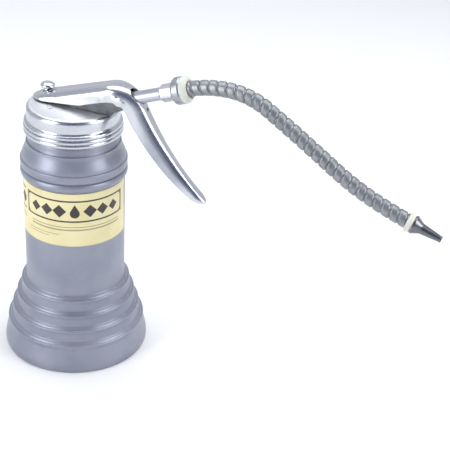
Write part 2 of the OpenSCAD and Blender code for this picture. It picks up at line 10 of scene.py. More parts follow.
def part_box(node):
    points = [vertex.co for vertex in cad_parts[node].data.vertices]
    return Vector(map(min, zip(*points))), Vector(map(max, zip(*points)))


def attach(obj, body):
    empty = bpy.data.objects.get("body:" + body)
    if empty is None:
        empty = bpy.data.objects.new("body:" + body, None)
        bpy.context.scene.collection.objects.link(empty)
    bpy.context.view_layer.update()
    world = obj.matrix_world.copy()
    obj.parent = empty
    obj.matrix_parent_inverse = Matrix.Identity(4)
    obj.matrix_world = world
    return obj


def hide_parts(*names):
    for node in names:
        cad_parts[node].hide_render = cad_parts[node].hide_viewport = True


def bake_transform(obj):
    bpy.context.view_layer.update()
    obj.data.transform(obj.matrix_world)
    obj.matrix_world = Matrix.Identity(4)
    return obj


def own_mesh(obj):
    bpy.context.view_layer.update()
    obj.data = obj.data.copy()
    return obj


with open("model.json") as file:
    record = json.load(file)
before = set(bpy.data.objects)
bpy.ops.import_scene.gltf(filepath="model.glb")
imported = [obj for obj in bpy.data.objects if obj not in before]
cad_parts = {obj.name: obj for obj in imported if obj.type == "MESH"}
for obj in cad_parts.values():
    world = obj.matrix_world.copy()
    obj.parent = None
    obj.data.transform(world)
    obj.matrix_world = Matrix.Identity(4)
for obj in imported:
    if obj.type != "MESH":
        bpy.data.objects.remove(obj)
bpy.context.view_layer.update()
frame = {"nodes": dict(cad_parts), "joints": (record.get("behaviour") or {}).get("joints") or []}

MM = 0.001
TAU = 2 * math.pi
joints = {j["name"]: j for j in frame["joints"]}


# ---------------------------------------------------------------- materials

class Nodes:
    """A short way to write the node tree of a new material, or of a world if one is given."""

    def __init__(self, name, world=None, **sockets):
        self.owner = world or bpy.data.materials.new(name)
        self.owner.use_nodes = True
        self.tree = self.owner.node_tree
        self.shader = self.tree.nodes["Background" if world else "Principled BSDF"]
        self.coord = self.add("ShaderNodeTexCoord").outputs
        self.set(**sockets)

    def add(self, kind, inputs=None, **props):
        node = self.tree.nodes.new(kind)
        for key, value in props.items():
            setattr(node, key, value)
        for key, value in (inputs or {}).items():
            self.put(node.inputs[key], value)
        return node

    def put(self, socket, value):
        """Links a socket to another one, or sets its value."""
        if isinstance(value, bpy.types.NodeSocket):
            self.tree.links.new(value, socket)
        else:
            socket.default_value = value

    def math(self, operation, a, b=0.0, c=0.0, clamp=False):
        node = self.add("ShaderNodeMath", {0: a, 1: b, 2: c}, operation=operation, use_clamp=clamp)
        return node.outputs[0]

    def times(self, a, b):
        return self.math("MULTIPLY", a, b)

    def sway(self, noise, amount, middle, clamp=False):
        """middle, plus amount times how far noise is from a half."""
        return self.math("MULTIPLY_ADD", self.math("SUBTRACT", noise, 0.5), amount, middle, clamp)

    def place(self):
        """Object coordinates in millimetres."""
        inputs = {0: self.coord["Object"], 1: [1 / MM] * 3}
        return self.add("ShaderNodeVectorMath", inputs, operation="MULTIPLY").outputs[0]

    def xyz(self):
        """Object coordinates in millimetres, one by one."""
        return self.add("ShaderNodeSeparateXYZ", {0: self.place()}).outputs

    def noise(self, scale, detail=3, rough=0.5):
        """Noise whose features are about 1 / scale millimetres wide."""
        inputs = {"Vector": self.place(), "Scale": scale, "Detail": detail, "Roughness": rough}
        return self.add("ShaderNodeTexNoise", inputs).outputs["Fac"]

    def span(self, value, low, high, start=0.0, end=1.0):
        """value between low and high, carried smoothly to between start and end."""
        node = self.add(
            "ShaderNodeMapRange",
            {"Value": value, "From Min": low, "From Max": high, "To Min": start, "To Max": end},
            interpolation_type="SMOOTHSTEP",
        )
        return node.outputs["Result"]

    def mix(self, factor, a, b):
        """Colour a where factor is 0 and colour b where it is 1."""
        node = self.add("ShaderNodeMix", {"Factor": factor}, data_type="RGBA")
        self.put(node.inputs[6], a)
        self.put(node.inputs[7], b)
        return node.outputs[2]

    def bump(self, height, distance, strength=1.0, normal=None):
        """Bump with its distance in millimetres."""
        inputs = {"Height": height, "Distance": distance * MM, "Strength": strength}
        if normal:
            inputs["Normal"] = normal
        return self.add("ShaderNodeBump", inputs).outputs["Normal"]

    def edges(self, low=0.51, high=0.56):
        """1 on sharp outer edges, 0 elsewhere."""
        return self.span(self.add("ShaderNodeNewGeometry").outputs["Pointiness"], low, high)

    def hollows(self, low=0.40, high=0.49):
        """1 in sharp hollows, 0 elsewhere."""
        return self.span(self.add("ShaderNodeNewGeometry").outputs["Pointiness"], low, high, 1.0, 0.0)

    def set(self, **sockets):
        """Links or sets the shader's sockets and returns the material or world."""
        for key, value in sockets.items():
            self.put(self.shader.inputs[key.replace("_", " ")], value)
        return self.owner


def grey(value, tint=(1.0, 1.0, 1.0)):
    """A grey, with each channel multiplied by tint."""
    return (value * tint[0], value * tint[1], value * tint[2], 1.0)


def plated(name, base, rough, vary=0.10, stain=0.12, satin_and_lit_above=None, dark_flank_reflection=False):
    """Bright plated or bare steel: cloudy gloss, fine grain, dull specks and polished edges.

    satin_and_lit_above is the height from which the plating is dull and its colour is painted lighter, a
    painted highlight for the light on the top. dark_flank_reflection paints a blotchy dark bluish reflection
    on the trigger's flanks.
    """
    n = Nodes(name, Metallic=1.0)
    cloud = n.noise(0.16, 4, 0.6)
    fine = n.noise(1.4, 3, 0.6)
    hair = n.noise(3.0, 2, 0.7)
    speck = n.span(n.noise(0.55, 5, 0.7), 0.60, 0.74)
    mean = sum(base[:3]) / 3
    dull = n.mix(n.times(speck, stain), base, grey(0.75 * mean, (0.98, 1.0, 1.02)))
    tone = n.mix(n.times(n.span(cloud, 0.35, 0.65), 0.18), dull, grey(0.82 * mean))
    color = n.mix(n.times(n.edges(), 0.35), tone, grey(0.86))
    gloss = n.sway(cloud, vary * 1.6, rough)
    gloss = n.sway(fine, vary, gloss)
    if dark_flank_reflection:
        # Painted reflection: the trigger's flanks are darkened to a blotchy bluish grey, standing in for the
        # dark surroundings they mirror.
        x, y, z = n.xyz()
        flank = n.times(n.span(n.math("ABSOLUTE", y), 1.6, 3.4), n.span(x, 35, 46))
        flank_reflection = n.times(flank, n.span(z, 100, 112))
        blotch = n.span(n.noise(0.09, 4, 0.6), 0.25, 0.70, 0.55, 0.95)
        color = n.mix(n.times(flank_reflection, blotch), color, (0.33, 0.355, 0.41, 1))
    if satin_and_lit_above:
        # The top is duller satin, and its colour is painted lighter there: a painted highlight for the light
        # falling on the top.
        top = n.span(n.xyz()[2], satin_and_lit_above - 0.2, satin_and_lit_above)
        gloss = n.math("MULTIPLY_ADD", top, 0.24, gloss)
        color = n.mix(n.times(top, 0.5), color, grey(0.80, (0.99, 1.0, 1.0)))
    gloss = n.math("MULTIPLY_ADD", speck, 0.10, gloss, clamp=True)
    ripple = n.bump(cloud, 0.05, 0.5)
    return n.set(Base_Color=color, Roughness=gloss, Normal=n.bump(hair, 0.004, 1.0, ripple))


def painted():
    """Satin metallic enamel: cloudy tone, metal flake, orange peel, dirt in the hollows and rubbed edges."""
    n = Nodes("can_enamel", Metallic=0.55, Coat_Weight=0.22, Coat_Roughness=0.30)
    low, high = (0.225, 0.241, 0.300, 1), (0.268, 0.284, 0.343, 1)
    cloud = n.noise(0.05, 4, 0.55)
    flake = n.noise(6.0, 1, 0.5)
    peel = n.noise(0.9, 2, 0.5)
    color = n.mix(n.span(cloud, 0.35, 0.65), low, high)
    color = n.mix(n.times(n.span(flake, 0.55, 0.70), 0.25), color, (0.38, 0.40, 0.46, 1))
    color = n.mix(n.times(n.hollows(), 0.30), color, (0.10, 0.11, 0.14, 1))
    color = n.mix(n.times(n.edges(0.53, 0.60), 0.20), color, (0.42, 0.44, 0.50, 1))
    gloss = n.sway(cloud, 0.12, 0.42)
    gloss = n.sway(flake, 0.10, gloss)
    return n.set(Base_Color=color, Roughness=gloss, Normal=n.bump(flake, 0.006, 0.5, n.bump(peel, 0.02, 0.6)))


def matt(name, base, dark, rough, grain=1.5, depth=0.03, weight=0.5, **sockets):
    """Moulded, cast, cork or leather surface: mottled colour, grain and dirty hollows."""
    n = Nodes(name, **sockets)
    broad = n.span(n.noise(0.25, 4, 0.6), 0.35, 0.65)
    fine = n.noise(grain, 4, 0.65)
    color = n.mix(n.times(broad, weight), base, dark)
    color = n.mix(n.times(n.span(fine, 0.5, 0.8), 0.4 * weight), color, dark)
    color = n.mix(n.times(n.hollows(), 0.5), color, dark)
    gloss = n.sway(fine, 0.18, rough, clamp=True)
    return n.set(Base_Color=color, Roughness=gloss, Normal=n.bump(fine, depth, 0.7))


def hose_metal():
    """Galvanised strip: cloudy dull crests with spangle and fine grain, and painted shade in the grooves."""
    n = Nodes("hose_strip", Metallic=0.75)
    cloud = n.noise(0.35, 4, 0.6)
    fine = n.noise(2.6, 3, 0.7)
    spangle = n.add("ShaderNodeTexVoronoi", {"Vector": n.place(), "Scale": 0.9}).outputs["Color"]
    grain = n.add("ShaderNodeSeparateColor", {0: spangle}).outputs[0]
    color = n.mix(n.span(cloud, 0.3, 0.7), (0.215, 0.226, 0.240, 1), (0.295, 0.306, 0.320, 1))
    color = n.mix(n.times(grain, 0.18), color, (0.36, 0.37, 0.39, 1))
    # Painted shade: the grooves between the windings are darkened almost to black.
    color = n.mix(n.times(n.hollows(0.44, 0.50), 0.85), color, (0.035, 0.038, 0.048, 1))
    color = n.mix(n.times(n.edges(0.53, 0.60), 0.15), color, (0.46, 0.47, 0.49, 1))
    gloss = n.sway(fine, 0.20, 0.42)
    return n.set(Base_Color=color, Roughness=gloss, Normal=n.bump(fine, 0.02, 0.6, n.bump(cloud, 0.05, 0.5)))


# ---------------------------------------------------------------- meshes

def cleaned(mesh, sharp):
    """Faces wound outwards and shaded smooth, with a crease where two meet at more than sharp degrees."""
    bm = bmesh.new()
    bm.from_mesh(mesh)
    bmesh.ops.remove_doubles(bm, verts=bm.verts, dist=1e-7)
    bmesh.ops.recalc_face_normals(bm, faces=bm.faces)
    bm.to_mesh(mesh)
    bm.free()
    mesh.polygons.foreach_set("use_smooth", [True] * len(mesh.polygons))
    mesh.set_sharp_from_angle(angle=math.radians(sharp))
    return mesh


def solid(name, verts, faces, place=None, sharp=40):
    """An object from vertices in millimetres, put in place by a matrix in millimetres."""
    place = place or Matrix.Identity(4)
    mesh = bpy.data.meshes.new(name)
    mesh.from_pydata([(place @ Vector(v)) * MM for v in verts], [], faces)
    obj = bpy.data.objects.new(name, cleaned(mesh, sharp))
    bpy.context.scene.collection.objects.link(obj)
    return obj


def finish_piece(obj, body, material, nodes=()):
    """Gives a piece its material and body, and hides the CAD nodes that it stands for."""
    obj.data.materials.append(material)
    if body:
        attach(obj, body)
    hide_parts(*nodes)
    return obj


def rounded(corners, steps=5):
    """A closed outline with each corner (a, b, radius) turned into an arc."""
    out = []
    count = len(corners)
    for i, corner in enumerate(corners):
        p = Vector(corner[:2])
        radius = corner[2] if len(corner) > 2 else 0
        before = Vector(corners[i - 1][:2]) - p
        after = Vector(corners[(i + 1) % count][:2]) - p
        turn = math.pi - before.angle(after, 0)
        if radius <= 0 or turn < 0.02 or turn > math.pi - 0.02:
            out.append(tuple(p))
            continue
        reach = min(radius * math.tan(turn / 2), 0.49 * before.length, 0.49 * after.length)
        radius = reach / math.tan(turn / 2)
        a, b = p + before.normalized() * reach, p + after.normalized() * reach
        middle = p + (before.normalized() + after.normalized()).normalized() * (radius / math.cos(turn / 2))
        for k in range(steps + 1):
            t = k / steps
            near, far = math.sin((1 - t) * turn) / math.sin(turn), math.sin(t * turn) / math.sin(turn)
            out.append(tuple(middle + (a - middle) * near + (b - middle) * far))
    return out


def lathe(profile, around=128, shape=None):
    """Vertices and faces of a closed profile of (radius, height) turned round Z.

    shape(angle, r), if given, changes each radius.
    """
    verts, rows = [], []
    for r, z in profile:
        if r < 1e-6:
            rows.append([len(verts)] * around)
            verts.append((0, 0, z))
            continue
        rows.append(list(range(len(verts), len(verts) + around)))
        for k in range(around):
            a = TAU * k / around
            s = shape(a, r) if shape else r
            verts.append((s * math.cos(a), s * math.sin(a), z))
    faces = []
    for i, row in enumerate(rows):
        nxt = rows[(i + 1) % len(rows)]
        if row[0] == row[1] and nxt[0] == nxt[1]:
            continue
        for k in range(around):
            m = (k + 1) % around
            face = [row[k], row[m], nxt[m], nxt[k]]
            faces.append([v for j, v in enumerate(face) if v != face[j - 1]])
    return verts, faces


def cut(obj, *cutters):
    """Cuts the cutters out of obj and removes them."""
    for cutter in cutters:
        modifier = obj.modifiers.new("cut", "BOOLEAN")
        modifier.object, modifier.operation, modifier.solver = cutter, "DIFFERENCE", "EXACT"
    graph = bpy.context.evaluated_depsgraph_get()
    graph.update()
    made = bpy.data.meshes.new_from_object(obj.evaluated_get(graph))
    obj.modifiers.clear()
    obj.data = cleaned(made, 40)
    for cutter in cutters:
        bpy.data.objects.remove(cutter)
    return obj


def drill(radius, low, high, place):
    """A plain round cutter along Z."""
    return solid("cutter", *lathe([(0, low), (radius, low), (radius, high), (0, high)], 48), place)


def across(x, z, side):
    """Placement at (x, 0, z) with Z turned to point out along Y on one side, 1 or -1."""
    return Matrix.Translation((x, 0, z)) @ Matrix.Rotation(-side * math.pi / 2, 4, "X")


def ease(t):
    """Smooth step from 0 to 1."""
    t = min(1.0, max(0.0, t))
    return t * t * (3 - 2 * t)


def between(value, table):
    """Straight-line lookup in a list of (x, y)."""
    if value <= table[0][0]:
        return table[0][1]
    for (x0, y0), (x1, y1) in zip(table, table[1:]):
        if value <= x1:
            return y0 + (y1 - y0) * (value - x0) / (x1 - x0)
    return table[-1][1]


# ---------------------------------------------------------------- driving sizes, as in the CAD

# Can: its tube, the stepped base, the ridge under the shoulder, and the neck
TUBE_R, BASE_R, WALL = 25.4, 37.5, 0.8
STEPS, STEP_R, STEP_GROW, STEP_TOP, STEP_DROP = 4, 27.9, 2.55, 37.3, 7.6
RIDGE_Z, RIDGE_OUT, CREASE_Z, NECK_R, NECK_TOP = 98.5, 1.35, 102.9, 21.6, 132.9
# Label: heights, the angle where it ends and how far it is wrapped, and its thickness
LABEL_LOW, LABEL_HIGH, LABEL_END, LABEL_WRAP, LABEL_T = 68.9, 98.0, 14.0, 320.0, 0.15
# Cap, its rolled beads and the vent stud on it
CAP_LOW, CAP_TOP, CAP_R, CAP_BEAD_R, CAP_INNER, CAP_CORNER = 121.2, 134.9, 22.9, 24.45, 22.2, 2.2
BEADS, BEAD_LOW, BEAD_STEP, BEAD_DEPTH, BEAD_HALF = 3, 122.225, 2.05, 0.55, 1.0
VENT_X, VENT_Y = -7.0, -10.3
# Lever: a straight arm, a bend and a curved trigger, all one channel
LEVER_T, ARM_HALF, TRIGGER_HALF, TRIGGER_TAPER = 0.9, 7.5, 5.4, 2.0
ARM_TILT, BEND_R, BEND_TURN, TRIGGER_R, TRIGGER_LEN = 18.26, 17.0, 80.6, 137.0, 54.0
REAR_X, BEND_X, WEB_OFF, TIP_R = -21.6, 19.2, 8.3, 5.6
# It narrows from NECKING_X on, and tapers from TAPER_X to its tip
NECKING_X, NECKING_RUN, TAPER_X, TAPER_RUN = 22.0, 20.0, 42.0, 27.8
# Depth of the lever's side (distance along the lever from its rear, depth)
FLANGE = [(0, 1.3), (8, 3.55), (22.7, 6.9), (28, 7.9), (36, 7.7), (52, 8.1), (60, 8.4), (69, 8.8),
          (85, 8), (98, 7), (107, 5.8), (115.5, 4.3), (121.5, 2.4)]
REAR_DEPTH, EDGE_DEPTH, TIP_DEPTH = 3.4, 1.3, 2.2
# The rod's hole, back along the arm from above the fulcrum, and the middle of the rib behind the fulcrum
ROD_HOLE_R, ROD_HOLE_BACK, RIB_X, RIB_Z = 2.6, 42, 20.0, 143.6
# Pump head with its stem, the fulcrum's pin, and the rod with its button
HEAD_HALF, HEAD_BEVEL, STEM_X, STEM_R, PIN_R = 4.8, 0.35, 3.0, 4.5, 1.6
ROD_X, ROD_R, BUTTON_Z, BUTTON_R, BUTTON_HALF = -14.2, 1.6, 141.25, 3.6, 1.75
# Spout tube, its hexagon, collar and ring, all measured along it from the fulcrum
SPOUT_TILT, SPOUT_R, SPOUT_DROP = 20.6, 3.1, 1.15
HEX_FROM, HEX_TO, HEX_HALF, HEX_SPIN = 20.8, 28.2, 4.0, 13
COLLAR_TO, COLLAR_R, RING_TO, RING_R = 32.7, 6.48, 36.0, 6.4
# Hose: six lengths, each bent by its own number of degrees
HOSE_R, HOSE_BORE, HOSE_LEN, HOSE_PITCH, LINER_R, LINER_BORE = 3.64, 2.75, 19.87, 4.35, 2.25, 1.4
HOSE_TURN = (-21.0, -30.4, -1.6, -1.0, 9.3, 6.6)
HOSE_BODIES = ("cap", "hose_b2", "hose_b3", "hose_b4", "hose_b5", "hose_b6")
FULCRUM = Vector(joints["lever_squeeze"]["pos_m"]) / MM


# ---------------------------------------------------------------- camera, light and floor

scene = bpy.context.scene
# The camera and the lamps are placed as if the spout were turned back by SPOUT_TURN.
CAMERA_AT = Vector((77.0, -498.3, 354.1))
SPOUT_TURN = math.radians(-22.0)
PITCH, ROLL = 0.515, 0.061
LENS, SENSOR = 89.376, 36.0
FLOOR_HALF = 4000

camera = bpy.data.objects.new("camera", bpy.data.cameras.new("camera"))
camera.data.sensor_width = SENSOR
camera.data.lens = LENS
camera.data.clip_start, camera.data.clip_end = 0.01, 20
to_object = Matrix.Rotation(-SPOUT_TURN, 4, "Z")
look = Matrix.Rotation(math.pi / 2 - PITCH, 4, "X") @ Matrix.Rotation(ROLL, 4, "Z")
camera.matrix_world = to_object @ Matrix.Translation(CAMERA_AT * MM) @ look
scene.collection.objects.link(camera)
scene.camera = camera


def area_light(name, at, toward, size, power):
    """A rectangular lamp. Places and sizes are in metres, seen from the camera's side."""
    data = bpy.data.lights.new(name, "AREA")
    data.shape, data.size, data.size_y = "RECTANGLE", size[0], size[1]
    data.energy = power
    light = bpy.data.objects.new(name, data)
    aim = (Vector(toward) - Vector(at)).to_track_quat("-Z", "Y").to_matrix().to_4x4()
    light.matrix_world = to_object @ Matrix.Translation(at) @ aim
    scene.collection.objects.link(light)


area_light("key", (-0.78, -0.62, 0.48), (0, 0, 0.10), (0.50, 0.95), 8.7)
area_light("fill", (0.85, -0.35, 0.50), (0.05, 0, 0.1), (0.45, 0.80), 6.2)
area_light("top", (0.05, 0.25, 0.95), (0.03, 0, 0.08), (1.1, 0.6), 6.5)

sky = Nodes("studio", bpy.data.worlds.new("studio"))


def sky_ramp(stops):
    """A colour for each height above the horizon."""
    height = sky.add("ShaderNodeSeparateXYZ", {0: sky.coord["Generated"]}).outputs["Z"]
    ramp = sky.add("ShaderNodeValToRGB", {"Fac": height})
    while len(ramp.color_ramp.elements) < len(stops):
        ramp.color_ramp.elements.new(0.5)
    for element, (at, color) in zip(ramp.color_ramp.elements, stops):
        element.position, element.color = at, (*color, 1)
    return ramp.outputs["Color"]


# Pale behind the object and dark in front of it, so that bright metal has something to mirror.
# The two skies are blended where the direction turns from FRONT_FROM to FRONT_TO towards the camera.
FRONT_FROM, FRONT_TO = -0.10, 0.45
BACK_SKY = [(0.0, (0.74, 0.76, 0.80)), (0.30, (0.80, 0.82, 0.87)), (0.50, (0.66, 0.69, 0.75)),
            (0.75, (0.48, 0.51, 0.58)), (1.0, (0.66, 0.69, 0.76))]
FRONT_SKY = [(0.0, (0.80, 0.82, 0.86)), (0.10, (0.30, 0.33, 0.43)), (0.35, (0.15, 0.17, 0.27)),
             (0.80, (0.12, 0.14, 0.24)), (1.0, (0.60, 0.63, 0.72))]
facing = sky.add("ShaderNodeVectorMath", {0: sky.coord["Generated"], 1: to_object @ Vector((0, -1, 0))},
                 operation="DOT_PRODUCT")
in_front = sky.span(facing.outputs["Value"], FRONT_FROM, FRONT_TO)
scene.world = sky.set(Color=sky.mix(in_front, sky_ramp(BACK_SKY), sky_ramp(FRONT_SKY)), Strength=0.92)
scene.view_settings.view_transform = "Standard"

corners = [(x * FLOOR_HALF, y * FLOOR_HALF, 0) for x, y in ((-1, -1), (1, -1), (1, 1), (-1, 1))]
floor = solid("floor", corners, [(0, 1, 2, 3)])
paper = Nodes("floor_paper", Roughness=0.9, Base_Color=(0.84, 0.84, 0.835, 1))
floor.data.materials.append(paper.set(Normal=paper.bump(paper.noise(0.02, 4), 0.2, 0.2)))


# ---------------------------------------------------------------- material list

ENAMEL = painted()
ZINC = plated("zinc_plate", (0.60, 0.62, 0.665, 1), 0.24)
ZINC_LEVER = plated("zinc_lever", (0.60, 0.62, 0.665, 1), 0.24, dark_flank_reflection=True)
ZINC_SPOUT = plated("zinc_spout", (0.53, 0.55, 0.60, 1), 0.33)
ZINC_FITTING = plated("zinc_fitting", (0.37, 0.385, 0.42, 1), 0.40, vary=0.16, stain=0.3)
ZINC_CAP = plated("zinc_cap", (0.57, 0.59, 0.635, 1), 0.26, vary=0.08, satin_and_lit_above=134.7)
POLISHED = plated("polished_steel", (0.66, 0.67, 0.70, 1), 0.20, vary=0.05)
SPRING = plated("spring_wire", (0.36, 0.37, 0.40, 1), 0.30)
DARK = plated("blackened_steel", (0.17, 0.175, 0.195, 1), 0.30, stain=0.3)
CASTING = matt("die_casting", (0.19, 0.195, 0.21, 1), (0.09, 0.09, 0.10, 1), 0.42, 2.0, 0.04, Metallic=0.85)
BRASS = matt("brass", (0.62, 0.44, 0.18, 1), (0.30, 0.19, 0.08, 1), 0.30, 1.6, 0.01, Metallic=1.0)
NYLON = matt("nylon", (0.66, 0.65, 0.57, 1), (0.50, 0.47, 0.37, 1), 0.42, 1.8, 0.02, 0.35,
             Subsurface_Weight=0.15)
CORK = matt("cork", (0.24, 0.13, 0.06, 1), (0.10, 0.05, 0.02, 1), 0.85, 1.2, 0.12, 0.8)
PACKING = matt("packing", (0.05, 0.04, 0.035, 1), (0.015, 0.012, 0.01, 1), 0.6, 2.5, 0.06)
POLYTHENE = matt("polythene", (0.70, 0.68, 0.56, 1), (0.52, 0.48, 0.34, 1), 0.38, 1.0, 0.01, 0.4,
                 Subsurface_Weight=0.2)
HOSE = hose_metal()


# ---------------------------------------------------------------- can

def step_corners(k):
    """Wall, raised bead and sloping ledge of base step k, from below."""
    r, z = STEP_R + STEP_GROW * k, STEP_TOP - STEP_DROP * k
    wall = [] if k == STEPS - 1 else [(r + 0.30, z - 5.45, 0.5)]
    return wall + [
        (r - 0.02, z - 1.15, 0.5), (r + 0.20, z - 0.45, 0.35), (r + 0.10, z + 0.42, 0.35),
        (r - 0.55, z + 0.72, 0.15), (r - 0.80, z + 0.72, 0.15), (r - 1.25, z + 1.35, 0.5),
    ]


# The body is one closed section: up the outside to the crease, and down again a wall's thickness inside.
outer = [(37.0, 0, 0.5), (BASE_R - 0.01, 1.0, 1.4), (BASE_R - 0.02, 3.6, 5)]
outer += [(36.35, 8.6, 9), (35.45, 12.6, 4)]
for k in reversed(range(STEPS)):
    outer += step_corners(k)
outer += [(TUBE_R, STEP_TOP + 2.3, 0.6), (TUBE_R, RIDGE_Z - 0.3, 0.6)]
ridge = [(TUBE_R + RIDGE_OUT * math.sin(a), RIDGE_Z + (CREASE_Z - RIDGE_Z) * (0.5 - 0.5 * math.cos(a)))
         for a in [math.pi * i / 16 for i in range(1, 16)]] + [(TUBE_R + 0.05, CREASE_Z)]
inner = [(p[0] - WALL, p[1]) for p in outer[2:]] + [(r - WALL, z) for r, z in ridge]
foot = [(36.2, 1.9, 0.5), (35.3, WALL, 0.4), (34.9, WALL), (34.9, 0)]
body_outline = rounded(outer + ridge + inner[::-1] + foot, 4)
body = solid("can_body", *lathe(body_outline, 192), sharp=50)
finish_piece(body, "can", ENAMEL, ["body_shell"])

# The shoulder swells out over the crease, slopes in to the neck, and has a lip inside the body.
breast = [(TUBE_R + 0.05 + 1.15 * math.sin(a), CREASE_Z + 0.02 + 1.9 * (1 - math.cos(a)))
          for a in [math.pi / 2 * i / 10 for i in range(11)]]
breast += [(26.6, 107.0), (26.55, 107.3), (26.4, 107.45), (25.95, 107.52)]
breast += [(25.95 - 2.45 * ease(t), 107.6 + 8.6 * t) for t in [i / 18 for i in range(1, 19)]]
breast += [(23.45, 116.35), (23.3, 116.45), (22.85, 116.52), (22.7, 116.9), (22.35, 118.8), (22.25, 121.0)]
neck = [(NECK_R, 121.7), (NECK_R, NECK_TOP - 0.4), (NECK_R - 0.2, NECK_TOP - 0.08), (NECK_R - 0.45, NECK_TOP),
        (NECK_R - 0.7, NECK_TOP - 0.15), (NECK_R - 0.8, NECK_TOP - 0.5)]
lining = [(r - WALL, z - (0.4 if z > 110 else 0)) for r, z in breast if z > CREASE_Z + 1]
lining += [(NECK_R - WALL, 120.4)]
lip = [(24.3, 104.0), (24.3, 99.4), (25.02, 99.4), (25.02, CREASE_Z - 0.3)]
shoulder = solid("can_shoulder", *lathe(breast + neck + lining[::-1] + lip, 192), sharp=50)
finish_piece(shoulder, "can", ENAMEL, ["shoulder"])


def tube_faces(count, wide):
    """Faces round count + 1 rings of wide vertices each, and over both ends."""
    faces = []
    for i in range(count):
        for k in range(wide):
            m = (k + 1) % wide
            faces.append((i * wide + k, i * wide + m, (i + 1) * wide + m, (i + 1) * wide + k))
    return faces + [tuple(range(wide)), tuple(range(count * wide, (count + 1) * wide))]


def helix(radius, section, low, pitch, turns, per_turn=64):
    """Vertices and faces of a ridge wound round Z. section is a list of (out, up); both ends taper away."""
    count, verts = int(turns * per_turn), []
    for i in range(count + 1):
        a = TAU * i / per_turn
        fade = ease(min(i, count - i) / (0.2 * per_turn))
        for out, up in section:
            r = radius + (out * fade if out > 0 else out)
            verts.append((r * math.cos(a), r * math.sin(a), low + pitch * i / per_turn + up))
    return verts, tube_faces(count, len(section))


ridge_section = [(-0.25, -0.55), (0.12, -0.38), (0.30, -0.12), (0.30, 0.12), (0.12, 0.38), (-0.25, 0.55)]
thread = solid("neck_thread", *helix(NECK_R, ridge_section, 123.2, 3.2, 2.6))
finish_piece(thread, "can", ENAMEL)

plate_outline = rounded([
    (0, 0.25), (24.5, 0.25), (26, 0, 1), (34.85, 0), (34.85, WALL, 0.2), (35.4, WALL + 0.06, 0.1),
    (35.4, 1.5, 0.4), (30.2, 1.5, 0.4), (29.4, 0.9, 0.4), (0, 1.05),
])
plate = solid("base_plate", *lathe(plate_outline, 144))
finish_piece(plate, "can", ENAMEL, ["bottom_plate"])


# ---------------------------------------------------------------- label

PANEL_AT, PANEL_HALF, PANEL_GAP = -59.5, 62.5, 5
FRAME_MID, FRAME_HALF = 88.4, 6.0


